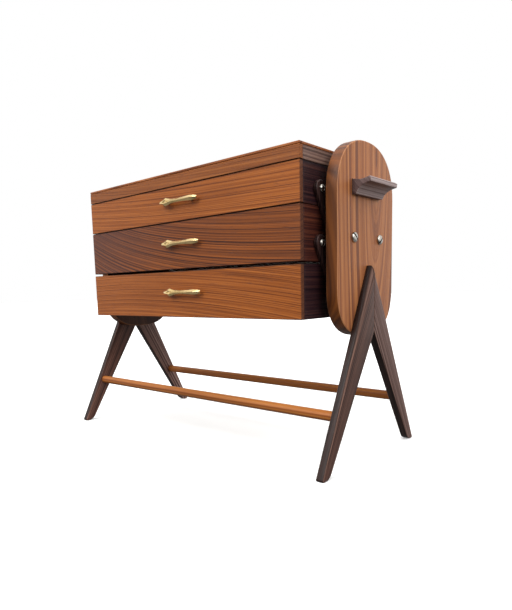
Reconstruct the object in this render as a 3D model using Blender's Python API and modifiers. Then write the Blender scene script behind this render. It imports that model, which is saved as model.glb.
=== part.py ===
"""Sewing box with swing-out trays, on a stand of two end panels and splayed legs.

Metres, +Z up. X runs along the box, the front faces -Y, and the origin is on the
floor under the middle of the object. Trays are closed, and the lid is down.
"""

from math import acos, atan2, cos, pi, radians, sin, tan

import bmesh
import bpy
from mathutils import Matrix, Vector

# --- Boxes ---------------------------------------------------------------
box_length = 0.480
box_depth = 0.230
bottom_box_z = 0.2091  # underside of the lowest box above the floor
bottom_box_height = 0.0736
middle_box_height = 0.0737
top_tray_height = 0.0536
hanging_gap = 0.0036  # between the middle box and the box that hangs from it
resting_gap = 0.0010  # between the middle box and the tray above it
wall = 0.0075
floor_thickness = 0.0040
floor_rise = 0.0060  # underside of a box to the underside of its floor
groove_depth = 0.0030
board_edge = 0.0007  # small chamfer on every board

# --- Lid -----------------------------------------------------------------
lid_gap = 0.0008
lid_rail_height = 0.0180
lid_board_thickness = 0.0036
hinge_length = 0.440
hinge_knuckles = 9
hinge_knuckle_radius = 0.0028
hinge_pin_radius = 0.0012
hinge_leaf_thickness = 0.0010
hinge_leaf_height = 0.0110

# --- Stand ---------------------------------------------------------------
end_gap = 0.0144  # end of the boxes to the end panel
panel_thickness = 0.0185
panel_half_width = 0.0780
panel_rise = 0.0127  # panel above the lid
panel_drop = 0.0271  # panel below the lowest box
panel_top_round = 0.0755  # height of the curved head
panel_bottom_round = 0.0700
panel_top_power = 2.3  # 2 is an ellipse, and more is squarer
panel_bottom_power = 2.6
panel_edge = 0.0018
leg_thickness = 0.0120
leg_foot_y = 0.1350  # outer corner of a foot from the middle
foot_width = 0.0170
foot_round = 0.0180
leg_apex_rise = 0.0992  # apex above the bottom of the panel
leg_crotch_rise = 0.0046
leg_tip_round = 0.0050
leg_edge = 0.0050  # rounding of the outer long edge of a leg
leg_inner_edge_share = 0.6
stretcher_z = 0.0773
stretcher_outset = 0.0030  # outwards of the middle of the leg's width
stretcher_radius = 0.0072
tenon_radius = 0.0050
tenon_length = 0.0080

# --- Lift handles --------------------------------------------------------
handle_length = 0.0750
handle_shift_y = -0.0050  # a little in front of the middle
handle_top_drop = 0.0550  # below the top of the panel
handle_height = 0.0205
handle_reach = 0.0295
handle_foot = 0.0072  # thickness at the bottom, under the cove
handle_lip = 0.0062
handle_scoop = 0.0024
handle_cove = 0.0040

# --- Swing levers --------------------------------------------------------
lever_thickness = 0.0060
lever_radius = 0.0115
lever_offset_y = 0.0386  # lean of a lever, front to back
lever_pair_y = 0.0718  # between the front and the rear lever
bolt_rise = 0.0321  # frame bolts above the underside of the middle box
tray_pivot_rise = 0.0210
hanging_pivot_rise = 0.0247
bottom_pivot_rise = 0.0383

# --- Screws and bolts ----------------------------------------------------
screw_radius = 0.0025
screw_head_radius = 0.0050
screw_head_height = 0.0034
bolt_radius = 0.0030
bolt_head_radius = 0.0070
bolt_head_height = 0.0038
stem_short = 0.0005  # stems stop this far short of a wall's inner face
slot_width = 0.0012
slot_depth = 0.0014

# --- Drawer pulls --------------------------------------------------------
pull_length = 0.0860
pull_head = 0.0120
pull_waist = 0.0068
pull_tail = 0.0076
pull_thickness = 0.0045
pull_standoff = 0.0080
pull_rise = 0.0035  # above the middle of a front
pull_shift_x = 0.0090  # the posts stand a little right of the middle
pull_post_radius = 0.0026
pull_post_inset = 0.0160

gap = 0.0003  # between pieces that touch
bore_clearance = 0.0003
round_sides = 12

# Heights and places that follow from the sizes above
middle_box_z = bottom_box_z + bottom_box_height + hanging_gap
top_tray_z = middle_box_z + middle_box_height + resting_gap
lid_z = top_tray_z + top_tray_height + lid_gap
lid_top_z = lid_z + lid_rail_height + gap + lid_board_thickness
half_length = box_length / 2
half_depth = box_depth / 2
panel_in = half_length + end_gap
panel_out = panel_in + panel_thickness
panel_top_z = lid_top_z + panel_rise
panel_bottom_z = bottom_box_z - panel_drop
apex_z = panel_bottom_z + leg_apex_rise
crotch_z = panel_bottom_z + leg_crotch_rise
leg_in = panel_out + gap
lever_in = half_length + gap
lever_out = lever_in + lever_thickness
stem_tip = half_length - wall + stem_short
bolt_z = middle_box_z + bolt_rise
tray_pivot_z = top_tray_z + tray_pivot_rise
hanging_pivot_z = middle_box_z + hanging_pivot_rise
bottom_pivot_z = bottom_box_z + bottom_pivot_rise
low_pivot_y = (-lever_pair_y / 2, lever_pair_y / 2)  # front and rear
high_pivot_y = tuple(y - lever_offset_y for y in low_pivot_y)
outer_slope = leg_foot_y / apex_z  # of a leg's edges: sideways for each metre of height
inner_slope = (leg_foot_y - foot_width) / crotch_z
outer_at_stretcher = leg_foot_y - stretcher_z * outer_slope
inner_at_stretcher = leg_foot_y - foot_width - stretcher_z * inner_slope
stretcher_y = (outer_at_stretcher + inner_at_stretcher) / 2 + stretcher_outset
hinge_y = half_depth + gap + hinge_knuckle_radius
hinge_z = lid_z - lid_gap / 2

for old in list(bpy.data.objects):
    bpy.data.objects.remove(old)
parts = bpy.data.collections.new("sewing_box")
cutters = bpy.data.collections.new("cutters")
bpy.context.scene.collection.children.link(parts)
bpy.context.scene.collection.children.link(cutters)


def finish(name, colour, roughness, metallic=0.0):
    material = bpy.data.materials.new(name)
    material.use_nodes = True
    shader = material.node_tree.nodes["Principled BSDF"]
    shader.inputs["Base Color"].default_value = (*colour, 1)
    shader.inputs["Roughness"].default_value = roughness
    shader.inputs["Metallic"].default_value = metallic
    return material


teak = finish("oiled_teak", (0.33, 0.13, 0.05), 0.42)
teak_dark = finish("dark_teak", (0.17, 0.075, 0.04), 0.45)
walnut = finish("walnut", (0.11, 0.065, 0.048), 0.45)
panel_wood = finish("panel_wood", (0.30, 0.145, 0.075), 0.42)
dowel_wood = finish("dowel_wood", (0.42, 0.19, 0.07), 0.48)
plywood = finish("plywood", (0.52, 0.36, 0.20), 0.60)
aged_brass = finish("aged_brass", (0.62, 0.47, 0.20), 0.33, 1.0)
nickel = finish("nickel", (0.66, 0.64, 0.60), 0.28, 1.0)


# ---------------------------------------------------------------- outlines
def arc(start, end, sag, steps):
    """Points from start to end on a circle that stands sag off the chord, to its left."""
    start, end = Vector(start), Vector(end)
    half = (end - start).length / 2
    side = Vector((-(end - start).y, (end - start).x)).normalized()
    radius = (half * half + sag * sag) / (2 * abs(sag))
    centre = (start + end) / 2 + side * (sag - radius * (1 if sag > 0 else -1))
    first = atan2(start.y - centre.y, start.x - centre.x)
    sweep = -2 * atan2(half, radius - abs(sag)) * (1 if sag > 0 else -1)
    turns = [first + sweep * i / steps for i in range(steps + 1)]
    return [(centre.x + radius * cos(a), centre.y + radius * sin(a)) for a in turns]


def rounded(corners, steps=5):
    """An outline from (x, y, radius) corners, each corner turned into an arc."""
    outline = []
    for i, (x, y, radius) in enumerate(corners):
        if not radius:
            outline.append((x, y))
            continue
        here = Vector((x, y))
        back = (Vector(corners[i - 1][:2]) - here).normalized()
        ahead = (Vector(corners[(i + 1) % len(corners)][:2]) - here).normalized()
        half_angle = back.angle(ahead) / 2
        centre = here + (back + ahead).normalized() * (radius / sin(half_angle))
        first = here + back * (radius / tan(half_angle))
        last = here + ahead * (radius / tan(half_angle))
        a, b = (first - centre), (last - centre)
        sweep = atan2(a.x * b.y - a.y * b.x, a.dot(b))
        turned = [Matrix.Rotation(sweep * n / steps, 2) @ a + centre for n in range(steps + 1)]
        outline += [tuple(point) for point in turned]
    return outline


def panel_outline(steps=11):
    """Straight sides with a high curved head and a lower, squarer foot, both superellipses."""

    def curved(height, power):
        angles = [pi / 2 * i / steps for i in range(steps + 1)]
        return [(panel_half_width * cos(a) ** (2 / power), height * sin(a) ** (2 / power)) for a in angles]

    head = [(y, panel_top_z - panel_top_round + z) for y, z in curved(panel_top_round, panel_top_power)]
    foot = [(y, panel_bottom_z + panel_bottom_round - z) for y, z in curved(panel_bottom_round, panel_bottom_power)]
    right = foot[::-1] + head
    return right + [(-y, z) for y, z in right[-2:0:-1]]


# ------------------------------------------------------------------ makers
def add(name, mesh, material, parent=None, origin=(0, 0, 0)):
    """Links a mesh given about origin, under an empty if the piece moves."""
    piece = bpy.data.objects.new(name, mesh)
    parts.objects.link(piece)
    mesh.materials.append(material)
    piece.location = origin
    if parent:
        piece.parent = parent
        piece.location = Vector(origin) - parent.location
    return piece


def pivot(name, y, z):
    """An empty on a joint's axis, which runs along X."""
    empty = bpy.data.objects.new(name, None)
    parts.objects.link(empty)
    empty.location = (0, y, z)
    return empty


def soften(piece, width, segments=1, by_weight=False):
    bevel = piece.modifiers.new("edges", "BEVEL")
    bevel.width = width
    bevel.segments = segments
    bevel.limit_method = "WEIGHT" if by_weight else "ANGLE"
    bevel.angle_limit = radians(50)


def cut(piece, cutter):
    boolean = piece.modifiers.new("cut", "BOOLEAN")
    boolean.object = cutter
    boolean.solver = "EXACT"


def box_mesh(name, size):
    mesh = bpy.data.meshes.new(name)
    shape = bmesh.new()
    bmesh.ops.create_cube(shape, size=1)
    bmesh.ops.scale(shape, vec=size, verts=shape.verts)
    shape.to_mesh(mesh)
    shape.free()
    return mesh


def board(name, low, high, material, parent=None):
    low, high = Vector(low), Vector(high)
    piece = add(name, box_mesh(name, high - low), material, parent, (low + high) / 2)
    soften(piece, board_edge)
    return piece


def plate_mesh(name, outline, thickness, axes):
    """A flat outline given thickness. axes is where its x, y and thickness point."""
    curve = bpy.data.curves.new(name, "CURVE")
    curve.dimensions = "2D"
    curve.fill_mode = "BOTH"
    curve.extrude = thickness / 2
    spline = curve.splines.new("POLY")
    spline.points.add(len(outline) - 1)
    for point, (x, y) in zip(spline.points, outline):
        point.co = (x, y, 0, 1)
    spline.use_cyclic_u = True
    guide = bpy.data.objects.new(name + "_outline", curve)
    parts.objects.link(guide)
    graph = bpy.context.evaluated_depsgraph_get()
    mesh = bpy.data.meshes.new_from_object(guide.evaluated_get(graph))
    bpy.data.objects.remove(guide)
    shape = bmesh.new()
    shape.from_mesh(mesh)
    bmesh.ops.remove_doubles(shape, verts=shape.verts, dist=1e-6)
    bmesh.ops.dissolve_limit(shape, angle_limit=radians(0.5), verts=shape.verts, edges=shape.edges)
    shape.transform(Matrix([Vector(axis) for axis in axes]).transposed().to_4x4())
    bmesh.ops.recalc_face_normals(shape, faces=shape.faces)
    shape.to_mesh(mesh)
    shape.free()
    mesh.materials.clear()
    return mesh


def plate(name, outline, thickness, axes, material, parent=None, origin=(0, 0, 0)):
    return add(name, plate_mesh(name, outline, thickness, axes), material, parent, origin)


def turned(name, profile, material, side, x, y, z, parent=None):
    """A shape turned about X from (height, radius) points, highest first, pointing to side."""
    mesh = bpy.data.meshes.new(name)
    points = [(radius, 0, height) for height, radius in profile]
    mesh.from_pydata(points, [(i, i + 1) for i in range(len(points) - 1)], [])
    piece = add(name, mesh, material, parent, (x, y, z))
    piece.rotation_euler = (0, side * pi / 2, 0)
    screw = piece.modifiers.new("turn", "SCREW")
    screw.steps = screw.render_steps = round_sides
    screw.use_merge_vertices = True
    screw.merge_threshold = 0.00001
    screw.use_smooth_shade = True
    return piece


def cylinder_cutter(name, radius, x_low, x_high, y, z):
    mesh = bpy.data.meshes.new(name)
    shape = bmesh.new()
    bmesh.ops.create_cone(
        shape, cap_ends=True, segments=round_sides, radius1=radius, radius2=radius, depth=x_high - x_low
    )
    shape.transform(Matrix.Rotation(pi / 2, 4, "Y"))
    shape.to_mesh(mesh)
    shape.free()
    return helper(name, mesh, ((x_low + x_high) / 2, y, z))


def helper(name, mesh, location, rotation=(0, 0, 0)):
    cutter = bpy.data.objects.new(name, mesh)
    cutters.objects.link(cutter)
    cutter.location = location
    cutter.rotation_euler = rotation
    cutter.hide_render = True
    cutter.display_type = "WIRE"
    return cutter


# ----------------------------------------------------------------- fittings
def slotted_screw(name, head_radius, head_height, stem_radius, side, seat_x, y, z, slot_turn, parent=None):
    """A domed slotted head seated at seat_x, its stem going inwards into a box's end."""
    crown = ((0.0, 1.0), (0.45, 0.9), (0.8, 0.55), (1.0, 0.18), (1.0, 0.0))
    profile = [(head_height * high, head_radius * out) for out, high in crown]
    stem_length = seat_x - stem_tip
    profile += [(0, stem_radius), (-stem_length, stem_radius), (-stem_length, 0)]
    screw = turned(name, profile, nickel, side, side * seat_x, y, z, parent)
    slot_size = (2 * slot_depth, slot_width, 3 * head_radius)
    top_x = side * (seat_x + head_height)
    slot = helper(name + "_slot", box_mesh(name + "_slot", slot_size), (top_x, y, z), (slot_turn, 0, 0))
    cut(screw, slot)
    return screw


def lever(name, side, low, high, bores, pivot_at, parent):
    """A flat link with round ends, its origin on the pivot that its body turns about."""
    (low_y, low_z), (high_y, high_z) = low, high
    lean = atan2(high_z - low_z, high_y - low_y)
    steps = 10
    ends = []
    for y, z, first in ((high_y, high_z, lean - pi / 2), (low_y, low_z, lean + pi / 2)):
        for i in range(steps + 1):
            turn = first + pi * i / steps
            ends.append((y + lever_radius * cos(turn) - pivot_at[0], z + lever_radius * sin(turn) - pivot_at[1]))
    x = side * (lever_in + lever_thickness / 2)
    axes = ((0, 1, 0), (0, 0, 1), (1, 0, 0))
    link = plate(name, ends, lever_thickness, axes, walnut, parent, (x, *pivot_at))
    soften(link, 0.0010)
    for bore in bores:
        cut(link, bore)
    return link


def drawer_pull(name, box_z, box_height, parent):
    """A cast pull: a spear head at the left, a slender waist and a flared tail, on two posts."""
    half, head, waist, tail = pull_length / 2, pull_head / 2, pull_waist / 2, pull_tail / 2
    upper = [(-half, 0.0), (-0.66 * half, head), (-0.34 * half, 1.15 * waist), (0.1 * half, waist)]
    upper += [(0.55 * half, waist), (0.82 * half, tail), (half, 0.6 * tail)]
    outline = upper[::-1] + [(x, -z) for x, z in upper[1:]]
    y = -half_depth - pull_standoff - pull_thickness / 2
    z = box_z + box_height / 2 + pull_rise
    axes = ((1, 0, 0), (0, 0, 1), (0, -1, 0))
    pull = plate(name, outline, pull_thickness, axes, aged_brass, parent, (pull_shift_x, y, z))
    soften(pull, 0.0011)
    post_length = pull_standoff - gap + pull_thickness / 2
    for share in (-1, 1):
        mesh = bpy.data.meshes.new(name + "_post")
        shape = bmesh.new()
        bmesh.ops.create_cone(
            shape,
            cap_ends=True,
            segments=12,
            radius1=pull_post_radius,
            radius2=pull_post_radius,
            depth=post_length,
        )
        shape.transform(Matrix.Rotation(pi / 2, 4, "X"))
        shape.to_mesh(mesh)
        shape.free()
        x = pull_shift_x + share * (half - pull_post_inset)
        post = helper(f"{name}_post_{share}", mesh, (x, y + post_length / 2, z))
        join = pull.modifiers.new("post", "BOOLEAN")
        join.operation = "UNION"
        join.object = post
    return pull


def open_box(name, z, height, parent, end_bores):
    """Four boards and a floor held in grooves: long boards in front and behind, short ends between."""
    top = z + height
    end_y = half_depth - wall - gap
    floor_x = half_length - wall + groove_depth - gap
    floor_y = half_depth - wall + groove_depth - gap
    floor_z = z + floor_rise
    walls = [
        board(f"{name}_front", (-half_length, -half_depth, z), (half_length, wall - half_depth, top), teak, parent),
        board(f"{name}_rear", (-half_length, half_depth - wall, z), (half_length, half_depth, top), teak, parent),
    ]
    for side, word in ((-1, "left"), (1, "right")):
        x_ends = sorted((side * half_length, side * (half_length - wall)))
        end = board(f"{name}_{word}_end", (x_ends[0], -end_y, z), (x_ends[1], end_y, top), teak_dark, parent)
        walls.append(end)
        for bore in end_bores:
            cut(end, bore)
    low, high = Vector((-floor_x, -floor_y, floor_z)), Vector((floor_x, floor_y, floor_z + floor_thickness))
    board(f"{name}_floor", low, high, plywood, parent)
    room = Vector((gap, gap, gap))
    groove_size = high - low + 2 * room
    groove = helper(f"{name}_groove", box_mesh(f"{name}_groove", groove_size), (low + high) / 2)
    for piece in walls:
        cut(piece, groove)


# ------------------------------------------------------------------- joints
top_front_axis = pivot("top_front_lever_axis", low_pivot_y[0], bolt_z)
top_rear_axis = pivot("top_rear_lever_axis", low_pivot_y[1], bolt_z)
top_tray_axis = pivot("top_tray_axis", high_pivot_y[0], tray_pivot_z)
bottom_front_axis = pivot("bottom_front_lever_axis", high_pivot_y[0], hanging_pivot_z)
bottom_rear_axis = pivot("bottom_rear_lever_axis", high_pivot_y[1], hanging_pivot_z)
bottom_box_axis = pivot("bottom_box_axis", low_pivot_y[0], bottom_pivot_z)
lid_axis = pivot("lid_axis", hinge_y, hinge_z)


# -------------------------------------------------------------------- bores
def bore_pair(name, radius, reach, ys, z):
    words = ("front", "rear")
    return [
        cylinder_cutter(f"{name}_{word}", radius + bore_clearance, -reach, reach, y, z) for word, y in zip(words, ys)
    ]


bolt_bores = bore_pair("bolt_bore", bolt_radius, panel_out + panel_thickness, low_pivot_y, bolt_z)
tray_bores = bore_pair("tray_bore", screw_radius, panel_in, high_pivot_y, tray_pivot_z)
hanging_bores = bore_pair("hanging_bore", screw_radius, panel_in, high_pivot_y, hanging_pivot_z)
bottom_bores = bore_pair("bottom_bore", screw_radius, panel_in, low_pivot_y, bottom_pivot_z)
tenon_bores = []
for side in (-1, 1):
    for front in (-1, 1):
        ends = sorted((side * (leg_in - tenon_length), side * (leg_in + tenon_length + gap)))
        bore_name = f"tenon_bore_{side}_{front}"
        bore = cylinder_cutter(bore_name, tenon_radius + bore_clearance, *ends, front * stretcher_y, stretcher_z)
        tenon_bores.append((side, front, bore))


# -------------------------------------------------------------------- stand
def end_panel(side, word):
    axes = ((0, 1, 0), (0, 0, 1), (1, 0, 0))
    origin = (side * (panel_in + panel_thickness / 2), 0, 0)
    panel = plate(f"{word}_end_panel", panel_outline(), panel_thickness, axes, panel_wood, None, origin)
    soften(panel, panel_edge, 2)
    for bore in bolt_bores:
        cut(panel, bore)


def leg(side, front, name):
    """One half of an A: its mitred top meets the other leg over the middle of the panel."""
    mitre = gap / 2
    corners = [
        (leg_foot_y, 0, 0.0020),
        (leg_foot_y - foot_width, 0, foot_round),
        (mitre, crotch_z - mitre / inner_slope, 0),
        (mitre, apex_z - mitre / outer_slope - leg_tip_round / 2, 0),
        (mitre + leg_tip_round / 3, apex_z - (mitre + leg_tip_round / 3) / outer_slope, 0.0015),
    ]
    outline = [(front * y, z) for y, z in rounded(corners)]
    axes = ((0, 1, 0), (0, 0, 1), (1, 0, 0))
    origin = (side * (leg_in + leg_thickness / 2), 0, 0)
    piece = plate(name, outline, leg_thickness, axes, walnut, None, origin)
    weights = piece.data.attributes.new("bevel_weight_edge", "FLOAT", "EDGE")
    points = piece.data.vertices
    for edge in piece.data.edges:
        low, high = sorted((points[i].co for i in edge.vertices), key=lambda end: end.z)
        on_face = all(abs(end.x - side * leg_thickness / 2) < 1e-6 for end in (low, high))
        is_long = high.z - low.z > crotch_z / 2 and abs(low.y) > leg_thickness
        is_outer = high.z > crotch_z + leg_thickness
        if on_face and is_long:
            weights.data[edge.index].value = 1 if is_outer else leg_inner_edge_share
    soften(piece, leg_edge, 2, by_weight=True)
    for bore_side, bore_front, bore in tenon_bores:
        if (bore_side, bore_front) == (side, front):
            cut(piece, bore)


def lift_handle(side, word):
    """A finger grip: scooped on top, with a cove under the lip that the fingers take."""
    reach, height, lip = handle_reach, handle_height, handle_lip
    scoop = arc((0, 0), (reach - 0.0030, 0.0), -handle_scoop, 6)
    nose = [(reach, -0.45 * lip), (reach - 0.0012, -lip)]
    cove = arc((reach - 0.0030, -lip - 0.0001), (handle_foot, -height + 0.0008), -handle_cove, 8)
    base = [(handle_foot - 0.0010, -height), (0, -height)]
    outline = scoop + nose + cove + base
    axes = ((side, 0, 0), (0, 0, 1), (0, -side, 0))
    origin = (side * (panel_out + gap), handle_shift_y, panel_top_z - handle_top_drop)
    soften(plate(f"{word}_lift_handle", outline, handle_length, axes, walnut, None, origin), 0.0005)


def stretcher(front, word):
    """A dowel with shouldered tenons that go into the legs."""
    shoulder = leg_in - gap
    tip = leg_in + tenon_length - gap
    profile = [(tip, 0), (tip, tenon_radius), (shoulder, tenon_radius), (shoulder, stretcher_radius)]
    profile += [(-height, radius) for height, radius in profile[::-1]]
    turned(f"{word}_stretcher", profile, dowel_wood, 1, 0, front * stretcher_y, stretcher_z)


for side, word in ((-1, "left"), (1, "right")):
    end_panel(side, word)
    lift_handle(side, word)
    for front, place in ((-1, "front"), (1, "rear")):
        leg(side, front, f"{word}_{place}_leg")
for front, place in ((-1, "front"), (1, "rear")):
    stretcher(front, place)

# -------------------------------------------------------------------- boxes
open_box("middle_box", middle_box_z, middle_box_height, None, bolt_bores + hanging_bores)
open_box("top_tray", top_tray_z, top_tray_height, top_tray_axis, tray_bores)
open_box("bottom_box", bottom_box_z, bottom_box_height, bottom_box_axis, bottom_bores)
drawer_pull("middle_box_pull", middle_box_z, middle_box_height, None)
drawer_pull("top_tray_pull", top_tray_z, top_tray_height, top_tray_axis)
drawer_pull("bottom_box_pull", bottom_box_z, bottom_box_height, bottom_box_axis)

# ------------------------------------------------------- levers and screws
slot_turns = (0.7, -0.5, 1.1, -0.9, 0.3, -1.2)
for side, word in ((-1, "left"), (1, "right")):
    for i, place in enumerate(("front", "rear")):
        axis = (top_front_axis, top_rear_axis)[i]
        low, high = (low_pivot_y[i], bolt_z), (high_pivot_y[i], tray_pivot_z)
        bores = (bolt_bores[i], tray_bores[i])
        lever(f"top_{place}_lever_{word}", side, low, high, bores, low, axis)
        axis = (bottom_front_axis, bottom_rear_axis)[i]
        low, high = (low_pivot_y[i], bottom_pivot_z), (high_pivot_y[i], hanging_pivot_z)
        bores = (bottom_bores[i], hanging_bores[i])
        lever(f"bottom_{place}_lever_{word}", side, low, high, bores, high, axis)
        slotted_screw(
            f"frame_bolt_{place}_{word}",
            bolt_head_radius,
            bolt_head_height,
            bolt_radius,
            side,
            panel_out + gap,
            low_pivot_y[i],
            bolt_z,
            slot_turns[2 * i + (side > 0)],
        )
        pivots = (
            ("top_tray", top_tray_axis, high_pivot_y[i], tray_pivot_z),
            ("middle_box", None, high_pivot_y[i], hanging_pivot_z),
            ("bottom_box", bottom_box_axis, low_pivot_y[i], bottom_pivot_z),
        )
        for n, (box, parent, y, z) in enumerate(pivots):
            slotted_screw(
                f"{box}_screw_{place}_{word}",
                screw_head_radius,
                screw_head_height,
                screw_radius,
                side,
                lever_out + gap,
                y,
                z,
                slot_turns[n + i + 1],
                parent,
            )

# ---------------------------------------------------------------------- lid
rail_top = lid_z + lid_rail_height
board("lid_front_rail", (-half_length, -half_depth, lid_z), (half_length, wall - half_depth, rail_top), teak, lid_axis)
board("lid_rear_rail", (-half_length, half_depth - wall, lid_z), (half_length, half_depth, rail_top), teak, lid_axis)
rail_end_y = half_depth - wall - gap
for side, word in ((-1, "left"), (1, "right")):
    xs = sorted((side * half_length, side * (half_length - wall)))
    board(f"lid_{word}_rail", (xs[0], -rail_end_y, lid_z), (xs[1], rail_end_y, rail_top), teak_dark, lid_axis)
board("lid_board", (-half_length, -half_depth, rail_top + gap), (half_length, half_depth, lid_top_z), teak, lid_axis)


def hinge_leaf(name, way, parent):
    """A strip on the back with every second knuckle. way is 1 above the pin and -1 below it."""
    radius, thickness = hinge_knuckle_radius, hinge_leaf_thickness
    strip_start = radius + gap
    strip_middle = way * (strip_start + hinge_leaf_height) / 2
    origin = Vector((0, hinge_y - radius + thickness / 2, hinge_z + strip_middle))
    size = (hinge_length, thickness, hinge_leaf_height - strip_start)
    leaf = add(name, box_mesh(name, size), aged_brass, parent, origin)
    pitch = hinge_length / hinge_knuckles
    first = pi
    last = 2 * pi + acos(thickness / radius - 1)
    turns = [first + (last - first) * i / 14 for i in range(15)]
    outline = [(radius * cos(a), way * radius * sin(a)) for a in turns]
    outline += [(thickness - radius, way * 1.5 * strip_start), (-radius, way * 1.5 * strip_start)]
    knuckle = plate_mesh(name + "_knuckle", outline, pitch - gap, ((0, 1, 0), (0, 0, 1), (1, 0, 0)))
    row = bmesh.new()
    for i in range(0 if way < 0 else 1, hinge_knuckles, 2):
        copy = bmesh.new()
        copy.from_mesh(knuckle)
        copy.transform(Matrix.Translation(((i + 0.5) * pitch - hinge_length / 2, 0, 0)))
        single = bpy.data.meshes.new(f"{name}_knuckle_{i}")
        copy.to_mesh(single)
        row.from_mesh(single)
        copy.free()
    knuckles = bpy.data.meshes.new(name + "_knuckles")
    row.to_mesh(knuckles)
    row.free()
    join = leaf.modifiers.new("knuckles", "BOOLEAN")
    join.operation = "UNION"
    join.object = helper(name + "_knuckles", knuckles, (0, hinge_y, hinge_z))
    cut(leaf, pin_bore)


reach = hinge_length / 2
pin_bore = cylinder_cutter("pin_bore", hinge_pin_radius + bore_clearance, -reach - wall, reach + wall, hinge_y, hinge_z)
hinge_leaf("hinge_lower_leaf", -1, top_tray_axis)
hinge_leaf("hinge_upper_leaf", 1, lid_axis)
pin_profile = [(reach, 0), (reach, hinge_pin_radius), (-reach, hinge_pin_radius), (-reach, 0)]
turned("hinge_pin", pin_profile, nickel, 1, 0, hinge_y, hinge_z, top_tray_axis)
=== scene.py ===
from math import atan, cos, pi, radians, sin, sqrt

import bmesh
import bpy
import numpy as np
from mathutils import Matrix, Vector


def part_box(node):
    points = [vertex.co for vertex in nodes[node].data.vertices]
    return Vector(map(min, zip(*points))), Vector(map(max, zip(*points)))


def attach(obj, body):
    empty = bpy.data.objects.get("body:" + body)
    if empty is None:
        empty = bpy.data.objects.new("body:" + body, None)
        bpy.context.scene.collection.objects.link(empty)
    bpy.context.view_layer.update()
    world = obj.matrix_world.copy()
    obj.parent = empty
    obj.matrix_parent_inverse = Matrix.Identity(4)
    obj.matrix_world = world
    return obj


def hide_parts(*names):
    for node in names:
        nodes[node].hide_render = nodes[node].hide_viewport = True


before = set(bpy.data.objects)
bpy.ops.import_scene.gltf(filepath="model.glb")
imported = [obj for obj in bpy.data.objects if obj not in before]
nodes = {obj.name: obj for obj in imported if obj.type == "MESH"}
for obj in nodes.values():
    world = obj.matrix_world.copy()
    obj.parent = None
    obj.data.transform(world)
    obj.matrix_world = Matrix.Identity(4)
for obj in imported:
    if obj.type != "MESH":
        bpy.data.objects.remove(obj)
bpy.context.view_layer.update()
sides = ((-1, "left"), (1, "right"))
places = ((-1, "front"), (1, "rear"))
boxBodies = (("top_tray", "top_tray"), ("middle_box", "root"), ("bottom_box", "bottom_box"))


# Node helpers: a, b and c are numbers, tuples or sockets
def feed(tree, value, socket):
    if isinstance(value, bpy.types.NodeSocket):
        tree.links.new(value, socket)
    else:
        socket.default_value = value


def calc(tree, operation, a, b=0.0, c=0.0, clamp=False):
    node = tree.nodes.new("ShaderNodeMath")
    node.operation = operation
    node.use_clamp = clamp
    for value, socket in zip((a, b, c), node.inputs):
        feed(tree, value, socket)
    return node.outputs[0]


def noise(tree, vector, scale, detail=2.0, roughness=0.5, seed=None):
    node = tree.nodes.new("ShaderNodeTexNoise")
    node.noise_dimensions = "3D" if seed is None else "4D"
    feed(tree, vector, node.inputs["Vector"])
    if seed is not None:
        feed(tree, seed, node.inputs["W"])
    for name, value in (("Scale", scale), ("Detail", detail), ("Roughness", roughness)):
        feed(tree, value, node.inputs[name])
    return node.outputs[0]


def noiseLine(tree, position, detail, roughness):  # noise along one number
    node = tree.nodes.new("ShaderNodeTexNoise")
    node.noise_dimensions = "1D"
    feed(tree, position, node.inputs["W"])
    for name, value in (("Scale", 1.0), ("Detail", detail), ("Roughness", roughness)):
        feed(tree, value, node.inputs[name])
    return node.outputs[0]


def spread(tree, value, low, high, toLow=0.0, toHigh=1.0, smooth=False):
    node = tree.nodes.new("ShaderNodeMapRange")
    node.interpolation_type = "SMOOTHSTEP" if smooth else "LINEAR"
    titles = ("Value", "From Min", "From Max", "To Min", "To Max")
    for title, number in zip(titles, (value, low, high, toLow, toHigh)):
        feed(tree, number, node.inputs[title])
    return node.outputs[0]


def blendColour(tree, share, a, b, kind="MIX"):
    node = tree.nodes.new("ShaderNodeMix")
    node.data_type = "RGBA"
    node.blend_type = kind
    feed(tree, share, node.inputs[0])
    feed(tree, a, node.inputs[6])
    feed(tree, b, node.inputs[7])
    return node.outputs[2]


def joinVector(tree, x, y, z):
    node = tree.nodes.new("ShaderNodeCombineXYZ")
    for value, socket in zip((x, y, z), node.inputs):
        feed(tree, value, socket)
    return node.outputs[0]


def stretched(tree, values, factors):  # a vector of each value times its factor
    return joinVector(tree, *(calc(tree, "MULTIPLY", v, f) for v, f in zip(values, factors)))


def newGroup(name, inputs, outputs):  # a shader group with float inputs, after one vector
    group = bpy.data.node_groups.new(name, "ShaderNodeTree")
    group.interface.new_socket("Vector", in_out="INPUT", socket_type="NodeSocketVector")
    for title, value in inputs.items():
        socket = group.interface.new_socket(title, in_out="INPUT", socket_type="NodeSocketFloat")
        socket.default_value = value
    for title in outputs:
        group.interface.new_socket(title, in_out="OUTPUT", socket_type="NodeSocketFloat")
    return group, group.nodes.new("NodeGroupInput").outputs, group.nodes.new("NodeGroupOutput").inputs


grainScales = {  # noise to a metre: along, across and through the board
    "slow": (3.0, 9.0, 9.0), "fibre": (5.0, 420.0, 420.0), "pore": (70.0, 2100.0, 2100.0),
}


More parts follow.
